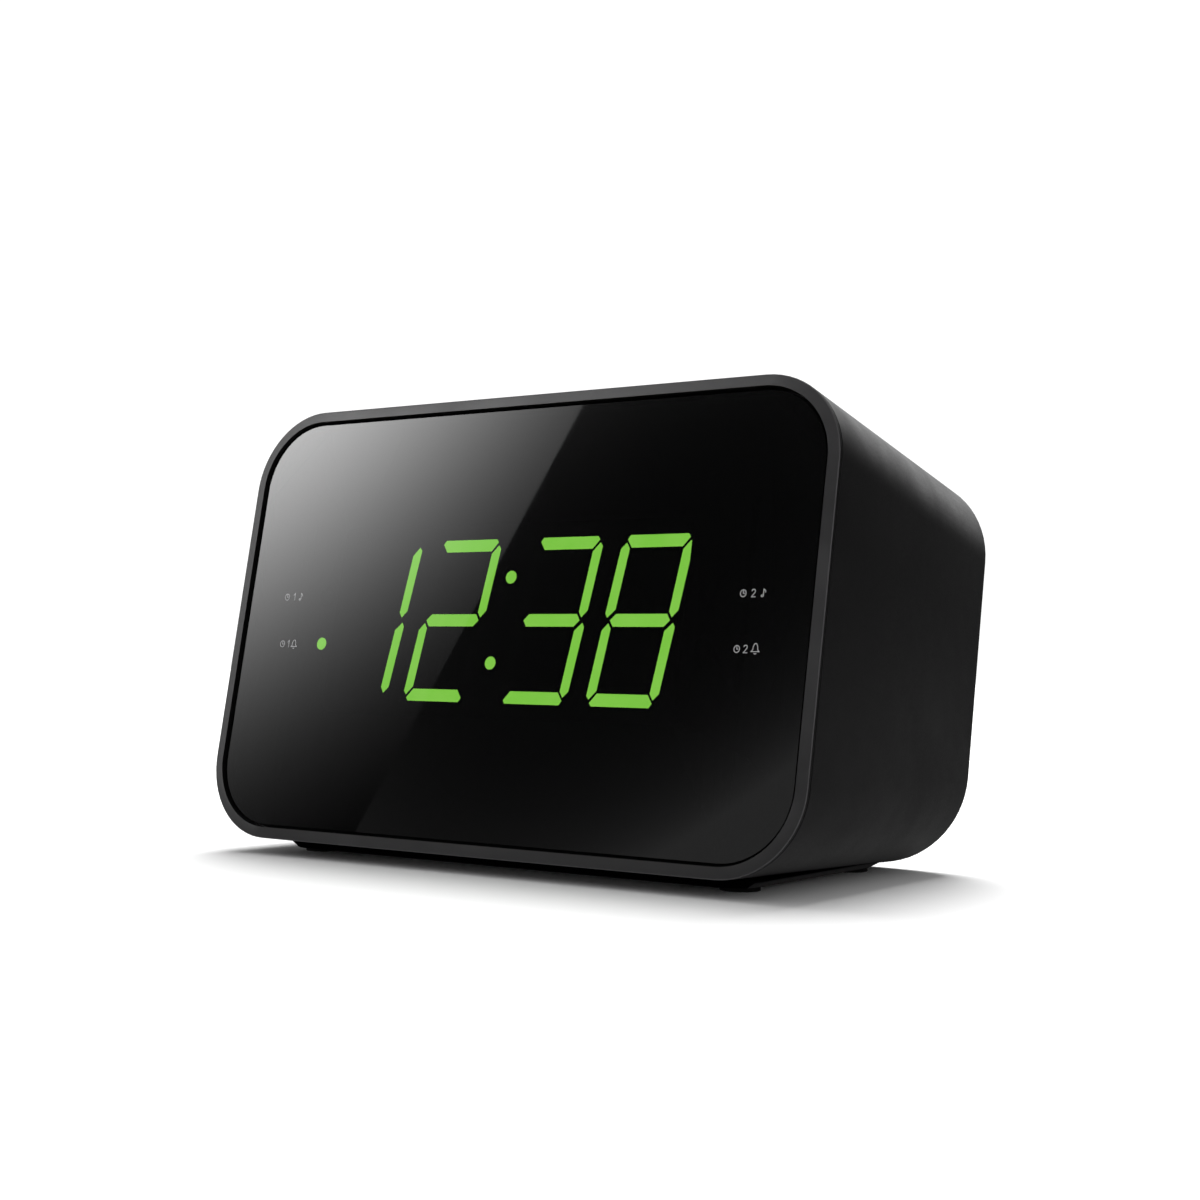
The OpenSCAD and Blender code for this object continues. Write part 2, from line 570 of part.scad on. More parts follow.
module antenna_grommet() color("#101010") leaning() difference() {
    union() {
        cs(-44, -15, cover_s - 1.2, cover_e + 1, 2.55);
        cs(-44, -15, cover_s - 1.2, cover_s, 3.6);
        cs(-44, -15, cover_e, cover_e + 1, 3.6);
    }
    cs(-44, -15, cover_s - 2, cover_e + 2, 0.9);
}

// ---------- fasteners ----------

module case_screws() color("#3a3a3c") leaning() {
    for (x = [-1, 1]) {
        for (q = [rear_top, rear_low]) translate([x*q[0], cover_e - 1.2, q[1]]) rotate([-90, 0, 0]) screw(7.5, 1.2, 2.8, 1.5);
        for (z = [-1, 1]) translate([x*66, 10.4, z*38.5]) rotate([-90, 0, 0]) screw(5.2, 1.15, 2.8, 1.5);
    }
}

module base_screws() color("#3a3a3c") for (x = [-1, 1]) for (y = base_screw_y)
    translate([x*44, y, foot_h + 1.1]) rotate([180, 0, 0]) screw(8, 1.2, 2.8, 0.95);

module pcb_screws() color("#8f9296") {
    leaning() for (x = [-1, 1]) {
        for (z = [-1, 1]) translate([x*post_u, refl_e + pcb_t, z*14]) rotate([-90, 0, 0]) screw(6, 1.15, 2.3, 1.4);
        for (s = [7.7, 34.6]) translate([x*43.2, s, key_pcb_v]) rotate([180, 0, 0]) screw(6, 1.15, 2.3, 1.4);
    }
    for (x = [-1, 1]) for (y = [-19, 20]) translate([x*53, y, board_z + pcb_t]) screw(7, 1.15, 2.3, 1.4);
}

module speaker_screws() color("#8f9296") leaning() for (a = [45:90:315])
    translate([31*cos(a), cover_s - 1.7, spk_v + 31*sin(a)]) rotate([90, 0, 0]) screw(2.6, 1.15, 3.7, 1.4);

front_bezel();
display_lens();
lens_mask();
main_housing();
rear_cover();
speaker_grille();
base_plate();
battery_door();
rubber_feet();
display_reflector();
lit_segments();
unlit_segments();
colon_and_dots();
display_leds();
display_pcb();
snooze_bar();
small_key(alarm_1_at);  // alarm_1_key
small_key(alarm_2_at);  // alarm_2_key
small_key(set_at);  // set_key
small_key(power_at);  // power_key
small_key(volume_down_at);  // volume_down_key
small_key(volume_up_at);  // volume_up_key
small_key(tune_down_at);  // tune_down_key
small_key(tune_up_at);  // tune_up_key
plunger(snooze_at);  // snooze_plunger
plunger(alarm_1_at);  // alarm_1_plunger
plunger(alarm_2_at);  // alarm_2_plunger
plunger(set_at);  // set_plunger
plunger(power_at);  // power_plunger
plunger(volume_down_at);  // volume_down_plunger
plunger(volume_up_at);  // volume_up_plunger
plunger(tune_down_at);  // tune_down_plunger
plunger(tune_up_at);  // tune_up_plunger
tact_switches();
key_pcb();
speaker_cloth();
speaker_basket();
speaker_magnet();
speaker_yoke();
speaker_top_plate();
voice_coil();
speaker_cone();
dust_cap();
speaker_surround();
speaker_spider();
main_pcb();
tuner_shield();
pcb_chips();
pcb_capacitors();
lead_connectors();
dc_jack();
dc_jack_pin();
antenna_grommet();
battery_contacts();
battery_springs();
internal_leads();
case_screws();
base_screws();
pcb_screws();
speaker_screws();
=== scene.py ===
import json
import math

import bmesh
import bpy
from mathutils import Matrix, Vector


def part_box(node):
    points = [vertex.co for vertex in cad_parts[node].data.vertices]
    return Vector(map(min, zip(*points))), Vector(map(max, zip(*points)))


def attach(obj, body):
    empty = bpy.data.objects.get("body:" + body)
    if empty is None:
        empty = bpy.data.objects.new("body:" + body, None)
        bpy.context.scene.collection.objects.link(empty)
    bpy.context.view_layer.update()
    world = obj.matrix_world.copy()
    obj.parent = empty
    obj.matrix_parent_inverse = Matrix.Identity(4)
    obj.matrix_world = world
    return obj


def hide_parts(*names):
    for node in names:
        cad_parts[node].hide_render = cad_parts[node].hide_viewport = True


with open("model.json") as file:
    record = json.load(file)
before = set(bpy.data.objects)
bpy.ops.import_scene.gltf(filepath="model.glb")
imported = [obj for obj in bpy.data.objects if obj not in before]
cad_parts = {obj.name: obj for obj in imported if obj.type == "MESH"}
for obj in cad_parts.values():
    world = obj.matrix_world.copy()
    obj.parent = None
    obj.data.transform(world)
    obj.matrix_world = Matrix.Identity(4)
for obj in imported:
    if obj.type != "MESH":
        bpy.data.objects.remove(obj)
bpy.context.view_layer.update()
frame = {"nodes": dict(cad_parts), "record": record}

nodes = frame["nodes"]
scene = bpy.context.scene
coll = scene.collection
scene.view_settings.view_transform = "Standard"
scene.view_settings.look = "None"
scene.view_settings.exposure = 0.0
scene.view_settings.gamma = 1.0

# ---------------------------------------------------------------- leaning frame
# u across the face, s into the body, v up the face, all in millimetres
LEAN = math.radians(10.0)
U = Vector((1, 0, 0))
S = Vector((0, math.cos(LEAN), -math.sin(LEAN)))
V = Vector((0, math.sin(LEAN), math.cos(LEAN)))
lo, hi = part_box("display_lens")
FACE = (lo + hi) / 2 - S * 0.001705


def at(u, s, v):
    return FACE + (U * u + S * s + V * v) * 0.001


# ---------------------------------------------------------------- materials
def tree(name):
    m = bpy.data.materials.new(name)
    m.use_nodes = True
    nt = m.node_tree
    return m, nt, nt.nodes["Principled BSDF"]


def noise(nt, coord, scale, detail=2.0, rough=0.5, stretch=None):
    n = nt.nodes.new("ShaderNodeTexNoise")
    n.inputs["Scale"].default_value = scale
    n.inputs["Detail"].default_value = detail
    n.inputs["Roughness"].default_value = rough
    if stretch:
        mp = nt.nodes.new("ShaderNodeMapping")
        mp.inputs["Scale"].default_value = stretch
        nt.links.new(coord, mp.inputs["Vector"])
        nt.links.new(mp.outputs["Vector"], n.inputs["Vector"])
    else:
        nt.links.new(coord, n.inputs["Vector"])
    return n.outputs["Fac"]


def remap(nt, val, a, b, c, d, smooth=False):
    n = nt.nodes.new("ShaderNodeMapRange")
    if smooth:
        n.interpolation_type = "SMOOTHSTEP"
    for k, x in (("From Min", a), ("From Max", b), ("To Min", c), ("To Max", d)):
        n.inputs[k].default_value = x
    nt.links.new(val, n.inputs["Value"])
    return n.outputs["Result"]


def mix(nt, fac, a, b):
    n = nt.nodes.new("ShaderNodeMix")
    n.data_type = "RGBA"
    if isinstance(fac, (int, float)):
        n.inputs["Factor"].default_value = fac
    else:
        nt.links.new(fac, n.inputs["Factor"])
    for key, val in (("A", a), ("B", b)):
        s = [i for i in n.inputs if i.name == key and i.type == "RGBA"][0]
        if isinstance(val, (tuple, list)):
            s.default_value = (*val[:3], 1)
        else:
            nt.links.new(val, s)
    return [o for o in n.outputs if o.type == "RGBA"][0]


def bump(nt, height, strength, distance, normal=None):
    b = nt.nodes.new("ShaderNodeBump")
    b.inputs["Strength"].default_value = strength
    b.inputs["Distance"].default_value = distance
    nt.links.new(height, b.inputs["Height"])
    if normal is not None:
        nt.links.new(normal, b.inputs["Normal"])
    return b.outputs["Normal"]


def surface(name, color, rough, metal=0.0, spec=0.5, grain=2200.0, grain_h=0.00002, grain_k=0.25,
            blotch=70.0, spread=0.06, tint=0.12, dust=0.0, coat=0.0, stretch=None, ior=1.5):
    """Moulded, plated or painted surface: fine grain, blotches of gloss, a little colour variation, dust on what faces up."""
    m, nt, p = tree(name)
    co = nt.nodes.new("ShaderNodeTexCoord").outputs["Object"]
    p.inputs["Metallic"].default_value = metal
    p.inputs["Specular IOR Level"].default_value = spec
    p.inputs["IOR"].default_value = ior
    if coat:
        p.inputs["Coat Weight"].default_value = coat
        p.inputs["Coat Roughness"].default_value = 0.08
    big = noise(nt, co, blotch, 3.0, 0.6)
    small = noise(nt, co, grain, 2.0, 0.55, stretch)
    dark = tuple(c * (1 - tint) for c in color)
    light = tuple(min(1.0, c * (1 + tint)) for c in color)
    col = mix(nt, remap(nt, big, 0.3, 0.7, 0.0, 1.0), dark, light)
    if dust:
        geo = nt.nodes.new("ShaderNodeNewGeometry")
        sep = nt.nodes.new("ShaderNodeSeparateXYZ")
        nt.links.new(geo.outputs["Normal"], sep.inputs[0])
        up = remap(nt, sep.outputs["Z"], 0.6, 1.0, 0.0, dust, True)
        spots = remap(nt, noise(nt, co, 900.0, 4.0, 0.7), 0.5, 0.75, 0.0, 1.0, True)
        mul = nt.nodes.new("ShaderNodeMath"); mul.operation = "MULTIPLY"
        nt.links.new(up, mul.inputs[0]); nt.links.new(spots, mul.inputs[1])
        col = mix(nt, mul.outputs[0], col, (0.35, 0.34, 0.32))
    nt.links.new(col, p.inputs["Base Color"])
    a = remap(nt, big, 0.25, 0.75, rough - spread, rough + spread)
    add = nt.nodes.new("ShaderNodeMath"); add.operation = "ADD"
    nt.links.new(a, add.inputs[0])
    nt.links.new(remap(nt, small, 0.3, 0.7, -spread * 0.5, spread * 0.5), add.inputs[1])
    nt.links.new(add.outputs[0], p.inputs["Roughness"])
    if grain_k:
        nt.links.new(bump(nt, small, grain_k, grain_h), p.inputs["Normal"])
    return m


MAT = {}
MAT["ring_grey"] = surface("ring_grey", (0.0235, 0.0228, 0.0240), 0.42, grain=2600, grain_k=0.35, dust=0.02)


def paint_wall_shade(m, other, face, painted_edge_highlight=None, low=0.40, high=0.60, keep=None):
    """Paints shade and highlight: keeps the colour on what faces one way, paints the walls another, darker colour as
    painted shade, and can paint a highlight on the edges between.
    """
    nt = m.node_tree
    p = nt.nodes["Principled BSDF"]
    src = p.inputs["Base Color"].links[0].from_socket
    dot = nt.nodes.new("ShaderNodeVectorMath")
    dot.operation = "DOT_PRODUCT"
    coord = nt.nodes.new("ShaderNodeTexCoord")
    nt.links.new(coord.outputs["Normal"], dot.inputs[0])
    dot.inputs[1].default_value = face
    # painted shade: faces turned away from face (dot below 0.40–0.60) get the dark wall colour instead of their own
    fac = remap(nt, dot.outputs["Value"], low, high, 0.0, 1.0, True)
    if keep:
        xyz = nt.nodes.new("ShaderNodeSeparateXYZ")
        nt.links.new(coord.outputs["Object"], xyz.inputs[0])
        inside = []
        for axis, half in zip("XY", keep):
            size = nt.nodes.new("ShaderNodeMath")
            size.operation = "ABSOLUTE"
            nt.links.new(xyz.outputs[axis], size.inputs[0])
            less = nt.nodes.new("ShaderNodeMath")
            less.operation = "LESS_THAN"
            nt.links.new(size.outputs[0], less.inputs[0])
            less.inputs[1].default_value = half
            inside.append(less.outputs[0])
        both = nt.nodes.new("ShaderNodeMath")
        both.operation = "MULTIPLY"
        either = nt.nodes.new("ShaderNodeMath")
        either.operation = "MAXIMUM"
        nt.links.new(inside[0], both.inputs[0])
        nt.links.new(inside[1], both.inputs[1])
        nt.links.new(both.outputs[0], either.inputs[0])
        nt.links.new(fac, either.inputs[1])
        fac = either.outputs[0]
        # outside the kept area, the walls with painted shade lose their specular as well
        shine = nt.nodes.new("ShaderNodeMath")
        shine.operation = "MULTIPLY"
        nt.links.new(fac, shine.inputs[0])
        shine.inputs[1].default_value = p.inputs["Specular IOR Level"].default_value
        nt.links.new(shine.outputs[0], p.inputs["Specular IOR Level"])
    # painted highlight: rounded edges turned more than about 13° from the face get the lighter edge colour
    if painted_edge_highlight:
        src = mix(nt, remap(nt, dot.outputs["Value"], 0.93, 0.975, 0.0, 1.0, True), painted_edge_highlight, src)
    nt.links.new(mix(nt, fac, other, src), p.inputs["Base Color"])


# painted shade and highlight: the ring's inner and outer walls are painted near black for the shadowed gaps round the
# lens and the body, and its rounded edges get a painted highlight
paint_wall_shade(MAT["ring_grey"], (0.0035, 0.0034, 0.0036), -S, (0.055, 0.054, 0.056))
MAT["body_black"] = surface("body_black", (0.0046, 0.0043, 0.0048), 0.38, grain=2400, grain_k=0.45, dust=0.02, spec=0.4)
MAT["base_black"] = surface("base_black", (0.013, 0.0127, 0.0132), 0.50, grain=1800, grain_k=0.5, spec=0.15)
# painted shade: the base's side walls are painted near black and matte for the contact shadow round the base; its
# bottom face and the middle of the underside keep the colour
paint_wall_shade(MAT["base_black"], (0.0006, 0.0006, 0.0007), (0, 0, -1), None, 0.85, 0.97, (0.030, 0.027))
MAT["key_black"] = surface("key_black", (0.013, 0.013, 0.014), 0.33, grain=2600, grain_k=0.25, dust=0.02)
MAT["foot_rubber"] = surface("foot_rubber", (0.020, 0.020, 0.020), 0.75, grain=1400, grain_k=0.6, spec=0.3)
# painted shade: the feet's sides are painted darker than their bottoms, for the shade where they meet the floor
paint_wall_shade(MAT["foot_rubber"], (0.005, 0.005, 0.005), (0, 0, -1))
MAT["mask_film"] = surface("mask_film", (0.0015, 0.0015, 0.0015), 0.85, grain=1500, grain_k=0.2, spec=0.15)
MAT["reflector_grey"] = surface("reflector_grey", (0.006, 0.006, 0.0065), 0.75, grain=1500, grain_k=0.3)
MAT["led_clear"] = surface("led_clear", (0.70, 0.70, 0.55), 0.2, grain_k=0.1, coat=0.5)
MAT["board_green"] = surface("board_green", (0.012, 0.085, 0.030), 0.32, grain=900, grain_k=0.2, coat=0.3, tint=0.25)
MAT["switch_black"] = surface("switch_black", (0.014, 0.014, 0.014), 0.45, grain=1800, grain_k=0.3)
MAT["plunger_red"] = surface("plunger_red", (0.33, 0.045, 0.025), 0.45, grain_k=0.3)
MAT["zinc_steel"] = surface("zinc_steel", (0.58, 0.58, 0.56), 0.30, metal=1.0, grain=900, grain_k=0.12, spread=0.08)
MAT["tin_plate"] = surface("tin_plate", (0.62, 0.62, 0.60), 0.24, metal=1.0, grain=500, grain_k=0.15, spread=0.08)
MAT["nickel"] = surface("nickel", (0.60, 0.57, 0.52), 0.16, metal=1.0, grain=900, grain_k=0.1, spread=0.05)
MAT["screw_black"] = surface("screw_black", (0.022, 0.022, 0.022), 0.36, metal=0.6, grain=1400, grain_k=0.3)
MAT["ferrite"] = surface("ferrite", (0.030, 0.030, 0.032), 0.55, grain=1200, grain_k=0.5)
MAT["copper_wire"] = surface("copper_wire", (0.55, 0.22, 0.09), 0.3, metal=1.0, grain=1200, grain_k=0.5, stretch=(0.05, 1, 0.05))
MAT["cone_paper"] = surface("cone_paper", (0.025, 0.025, 0.027), 0.9, grain=900, grain_k=0.9, grain_h=0.00004)
MAT["foam_surround"] = surface("foam_surround", (0.018, 0.018, 0.018), 0.8, grain=1600, grain_k=0.7)
MAT["capacitor_sleeve"] = surface("capacitor_sleeve", (0.02, 0.04, 0.11), 0.25, grain=900, grain_k=0.1)
MAT["nylon_white"] = surface("nylon_white", (0.66, 0.64, 0.56), 0.42, grain=1500, grain_k=0.2)
MAT["lead_grey"] = surface("lead_grey", (0.26, 0.26, 0.27), 0.45, grain=1500, grain_k=0.3)
MAT["segment_dark"] = surface("segment_dark", (0.012, 0.013, 0.012), 0.45, grain=1500, grain_k=0.2)
MAT["print_grey"] = surface("print_grey", (0.42, 0.42, 0.43), 0.5, grain=3000, grain_k=0.3, tint=0.08)


def cloth(name, color, pitch, rough=0.85):
    """Plain weave: two crossed sets of threads."""
    m, nt, p = tree(name)
    co = nt.nodes.new("ShaderNodeTexCoord").outputs["Object"]
    waves = []
    for axis in ("X", "Z"):
        w = nt.nodes.new("ShaderNodeTexWave")
        w.wave_type = "BANDS"
        w.bands_direction = axis
        w.inputs["Scale"].default_value = 1.0 / pitch / 2
        w.inputs["Distortion"].default_value = 0.6
        w.inputs["Detail"].default_value = 2.0
        nt.links.new(co, w.inputs["Vector"])
        waves.append(w.outputs["Fac"])
    mx = nt.nodes.new("ShaderNodeMath"); mx.operation = "MAXIMUM"
    nt.links.new(waves[0], mx.inputs[0]); nt.links.new(waves[1], mx.inputs[1])
    big = noise(nt, co, 120.0, 3.0)
    col = mix(nt, mx.outputs[0], tuple(c * 0.35 for c in color), color)
    nt.links.new(col, p.inputs["Base Color"])
    nt.links.new(remap(nt, big, 0.3, 0.7, rough - 0.07, rough + 0.07), p.inputs["Roughness"])
    nt.links.new(bump(nt, mx.outputs[0], 0.7, 0.0001), p.inputs["Normal"])
    return m


MAT["speaker_cloth"] = cloth("speaker_cloth", (0.014, 0.014, 0.014), 0.0006)
MAT["spider_cloth"] = cloth("spider_cloth", (0.50, 0.30, 0.10), 0.0005, 0.7)


def lens_material():
    """Smoked acrylic: black and glossy, lets a little light through."""
    m, nt, p = tree("smoked_lens")
    co = nt.nodes.new("ShaderNodeTexCoord").outputs["Object"]
    p.inputs["IOR"].default_value = 1.50
    haze = noise(nt, co, 45.0, 4.0, 0.65)
    nt.links.new(mix(nt, haze, (0.0009, 0.0009, 0.0010), (0.0013, 0.0013, 0.0014)), p.inputs["Base Color"])
    nt.links.new(remap(nt, haze, 0.35, 0.75, 0.012, 0.030), p.inputs["Roughness"])
    # the tint is in the front skin; the back of the plate is clear
    back_face = nt.nodes.new("ShaderNodeNewGeometry").outputs["Backfacing"]
    nt.links.new(remap(nt, back_face, 0.0, 1.0, 0.93, 0.0), p.inputs["Alpha"])
    m.use_backface_culling = True
    return m


MAT["smoked_lens"] = lens_material()


def lit_material():
    """Green diffusing windows lit from behind, a touch brighter in random patches."""
    m, nt, p = tree("segment_green")
    co = nt.nodes.new("ShaderNodeTexCoord").outputs["Object"]
    n = noise(nt, co, 160.0, 2.0)
    p.inputs["Roughness"].default_value = 0.5
    p.inputs["Base Color"].default_value = (0.05, 0.16, 0.02, 1)
    col = mix(nt, remap(nt, n, 0.35, 0.65, 0.0, 1.0), (0.345, 0.97, 0.100), (0.385, 1.0, 0.120))
    nt.links.new(col, p.inputs["Emission Color"])
    p.inputs["Emission Strength"].default_value = 7.86
    nt.links.new(bump(nt, noise(nt, co, 1500.0), 0.2, 0.00001), p.inputs["Normal"])
    return m


MAT["segment_green"] = lit_material()

slot_of = {s["node"]: s["material_slot"] for s in frame["record"]["subparts"]}
for name, ob in nodes.items():
    ob.data.materials.clear()
    ob.data.materials.append(MAT[slot_of[name]])

body_of_node = {n: b for b, members in frame["record"]["behaviour"]["bodies"].items() for n in members}


# ---------------------------------------------------------------- smooth shells
def shell(node, angle=35.0, chamfer=0.0, limit=50.0, steps=2):
    """A welded copy of a CAD node with smooth rounded faces, and small edge radii where asked."""
    src = nodes[node]
    me = src.data.copy()
    ob = bpy.data.objects.new(node + "_skin", me)
    coll.objects.link(ob)
    bm = bmesh.new()
    bm.from_mesh(me)
    bmesh.ops.remove_doubles(bm, verts=bm.verts, dist=2e-7)
    bmesh.ops.dissolve_degenerate(bm, edges=bm.edges, dist=1e-7)
    if chamfer:
        bmesh.ops.dissolve_limit(bm, angle_limit=math.radians(0.6), verts=bm.verts, edges=bm.edges)
    for f in bm.faces:
        f.smooth = True
    for e in bm.edges:
        e.smooth = len(e.link_faces) == 2 and e.calc_face_angle(math.pi) < math.radians(angle)
    bm.to_mesh(me)
    bm.free()
    if me.has_custom_normals:
        me.attributes.remove(me.attributes["custom_normal"]) if "custom_normal" in me.attributes else None
    if chamfer:
        b = ob.modifiers.new("edge", "BEVEL")
        b.width = chamfer
        b.segments = steps
        b.limit_method = "ANGLE"
        b.angle_limit = math.radians(limit)
        b.harden_normals = False
        b.use_clamp_overlap = True
        w = ob.modifiers.new("normals", "WEIGHTED_NORMAL")
        w.keep_sharp = True
    me.materials.clear()
    me.materials.append(MAT[slot_of[node]])
    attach(ob, body_of_node[node])
    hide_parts(node)
    return ob


for n in ("main_housing", "rear_cover", "internal_leads", "battery_springs"):
    shell(n)
shell("front_bezel", chamfer=0.00026, limit=55.0, steps=3)
for n in ("snooze_bar", "alarm_1_key", "alarm_2_key", "set_key", "power_key",
          "volume_down_key", "volume_up_key", "tune_down_key", "tune_up_key"):
    shell(n, chamfer=0.00018)
for n in ("rubber_feet", "base_plate", "battery_door"):
    shell(n, chamfer=0.00012)


# ---------------------------------------------------------------- printed marks
def glyph(kind):
    """Strokes in a box of height 1, and the width of the glyph."""
    if kind == "one":
        return [[(0.0, 0.76), (0.26, 1.0), (0.26, 0.0)]], 0.30
    if kind == "two":
        return [[(0.02, 0.78), (0.08, 0.93), (0.25, 1.0), (0.43, 0.95), (0.52, 0.80), (0.48, 0.60), (0.0, 0.0), (0.55, 0.0)]], 0.58
    if kind == "note":
        head = [(0.20 + 0.17 * math.cos(t * math.pi / 6), 0.12 + 0.12 * math.sin(t * math.pi / 6)) for t in range(13)]
        return [head, [(0.36, 0.14), (0.36, 1.0), (0.62, 0.82), (0.66, 0.60)]], 0.70
    if kind == "bell":
        return [[(0.04, 0.22), (0.20, 0.40), (0.22, 0.68), (0.34, 0.90), (0.44, 0.94), (0.54, 0.90), (0.66, 0.68),
                 (0.68, 0.40), (0.84, 0.22), (0.04, 0.22)], [(0.34, 0.06), (0.44, 0.0), (0.54, 0.06)]], 0.88
    if kind == "clock":
        ring = [(0.46 + 0.40 * math.cos(t * math.pi / 10), 0.44 + 0.40 * math.sin(t * math.pi / 10)) for t in range(21)]
        return [ring, [(0.46, 0.70), (0.46, 0.44), (0.64, 0.36)], [(0.06, 0.82), (0.24, 1.0)], [(0.68, 1.0), (0.86, 0.82)]], 0.92
    if kind == "dial":
        ring = [(0.46 + 0.42 * math.cos(t * math.pi / 9), 0.48 + 0.46 * math.sin(t * math.pi / 9)) for t in range(19)]
        return [ring, [(0.46, 0.80), (0.46, 0.46), (0.68, 0.46)]], 0.92
    if kind == "plus":
        return [[(0.0, 0.5), (0.8, 0.5)], [(0.4, 0.1), (0.4, 0.9)]], 0.8
    if kind == "minus":
        return [[(0.0, 0.5), (0.8, 0.5)]], 0.8
    if kind == "speaker":
        return [[(0.0, 0.34), (0.22, 0.34), (0.50, 0.08), (0.50, 0.92), (0.22, 0.66), (0.0, 0.66), (0.0, 0.34)]], 0.6
    if kind == "left":
        return [[(0.55, 0.1), (0.0, 0.5), (0.55, 0.9), (0.55, 0.1)]], 0.55
    if kind == "right":
        return [[(0.0, 0.1), (0.55, 0.5), (0.0, 0.9), (0.0, 0.1)]], 0.55
    if kind == "power":
        arc = [(0.45 + 0.40 * math.sin(math.radians(t)), 0.42 + 0.40 * math.cos(math.radians(t))) for t in range(35, 326, 15)]
        return [arc, [(0.45, 1.0), (0.45, 0.48)]], 0.9
    if kind == "moon":
        out = [(0.45 + 0.42 * math.cos(math.radians(t)), 0.5 + 0.42 * math.sin(math.radians(t))) for t in range(60, 331, 15)]
        back = [(0.68 + 0.38 * math.cos(math.radians(t)), 0.66 + 0.38 * math.sin(math.radians(t))) for t in range(270, 139, -15)]
        return [out + back + [out[0]]], 0.9
    return [], 0.3


def marks(name, body, places, origin, ax, ay, az, pen):
    """Flat printed strokes. places is [(kind, x, y, height)] in mm from origin along ax and ay; az points out of the surface."""
    bm = bmesh.new()
    half = pen / 2
    lift, thick = 0.004, 0.012

    def prism(pts):
        lo_ = [bm.verts.new(origin + (ax * q[0] + ay * q[1] + az * lift) * 0.001) for q in pts]
        up_ = [bm.verts.new(origin + (ax * q[0] + ay * q[1] + az * (lift + thick)) * 0.001) for q in pts]
        bm.faces.new(up_)
        bm.faces.new(list(reversed(lo_)))
        k = len(pts)
        for i in range(k):
            j = (i + 1) % k
            bm.faces.new((lo_[i], lo_[j], up_[j], up_[i]))

    for kind, x, y, h in places:
        strokes, _ = glyph(kind)
        for st in strokes:
            pts = [Vector((x + q[0] * h, y + q[1] * h)) for q in st]
            closed = (pts[0] - pts[-1]).length < 1e-6
            if closed:
                pts = pts[:-1]
            k = len(pts)
            left, right = [], []
            for i in range(k):
                a = pts[(i - 1) % k] if (closed or i > 0) else None
                b = pts[(i + 1) % k] if (closed or i < k - 1) else None
                d1 = (pts[i] - a).normalized() if a is not None else (b - pts[i]).normalized()
                d2 = (b - pts[i]).normalized() if b is not None else d1
                n1, n2 = Vector((-d1.y, d1.x)), Vector((-d2.y, d2.x))
                mid = (n1 + n2)
                mid = mid.normalized() if mid.length > 1e-6 else n1
                w = half / max(0.35, mid.dot(n1))
                cap = Vector((0, 0))
                if a is None:
                    cap = -d1 * half
                if b is None:
                    cap = d1 * half
                left.append(pts[i] + cap + mid * w)
                right.append(pts[i] + cap - mid * w)
            last = k if closed else k - 1
            for i in range(last):
                j = (i + 1) % k
                prism([right[i], right[j], left[j], left[i]])
    bmesh.ops.remove_doubles(bm, verts=bm.verts, dist=1e-8)
    bmesh.ops.recalc_face_normals(bm, faces=bm.faces)
    me = bpy.data.meshes.new(name)
    bm.to_mesh(me)
    bm.free()
    me.materials.append(MAT["print_grey"])
    ob = bpy.data.objects.new(name, me)
    coll.objects.link(ob)
    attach(ob, body)
    return ob


def row(kinds, x0, y, h, gap=0.28):
    out, x = [], x0
    for k in kinds:
        out.append((k, x, y, h))
        x += (glyph(k)[1] + gap) * h
    return out


face_print = (
    row(["dial", "one", "note"], -62.4, 4.83, 1.55, 0.80)
    + row(["dial", "one"], -61.75, -6.05, 1.55, 0.55) + row(["bell"], -58.4, -6.35, 2.1)
    + row(["dial", "two", "note"], 57.2, 4.72, 1.48, 0.80)
    + row(["dial", "two"], 57.05, -6.15, 1.48, 0.55) + row(["bell"], 60.8, -6.4, 2.2)
)
marks("lens_print", "case", face_print, at(0, 0.38, 0), U, V, -S, 0.135)


def key_mark(name, body, node, kinds, h=2.6, pen=0.34):
    lo_, hi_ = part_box(node)
    c = (lo_ + hi_) / 2
    # top face of the key, found from its highest corner along V
    ob = nodes[node]
    top = max((v.co - FACE).dot(V) for v in ob.data.vertices)
    s_mid = [(v.co - FACE).dot(S) for v in ob.data.vertices if (v.co - FACE).dot(V) > top - 1e-5]
    u_mid = [v.co.x for v in ob.data.vertices if (v.co - FACE).dot(V) > top - 1e-5]
    s0 = (min(s_mid) + max(s_mid)) / 2
    u0 = (min(u_mid) + max(u_mid)) / 2
    width = sum(glyph(k)[1] for k in kinds) * h + 0.25 * h * (len(kinds) - 1)
    places = row(kinds, -width / 2, -h / 2, h, 0.25)
    origin = FACE + U * u0 + S * s0 + V * top
    marks(name, body, places, origin, U, S, V, pen)


key_mark("alarm_1_print", "alarm_1", "alarm_1_key", ["clock", "one"])
key_mark("alarm_2_print", "alarm_2", "alarm_2_key", ["clock", "two"])
key_mark("set_print", "set", "set_key", ["clock"])
key_mark("power_print", "power", "power_key", ["power"])
key_mark("volume_down_print", "volume_down", "volume_down_key", ["speaker", "minus"])
key_mark("volume_up_print", "volume_up", "volume_up_key", ["speaker", "plus"])
key_mark("tune_down_print", "tune_down", "tune_down_key", ["left"])
key_mark("tune_up_print", "tune_up", "tune_up_key", ["right"])
key_mark("snooze_print", "snooze", "snooze_bar", ["moon"], 5.0, 0.45)


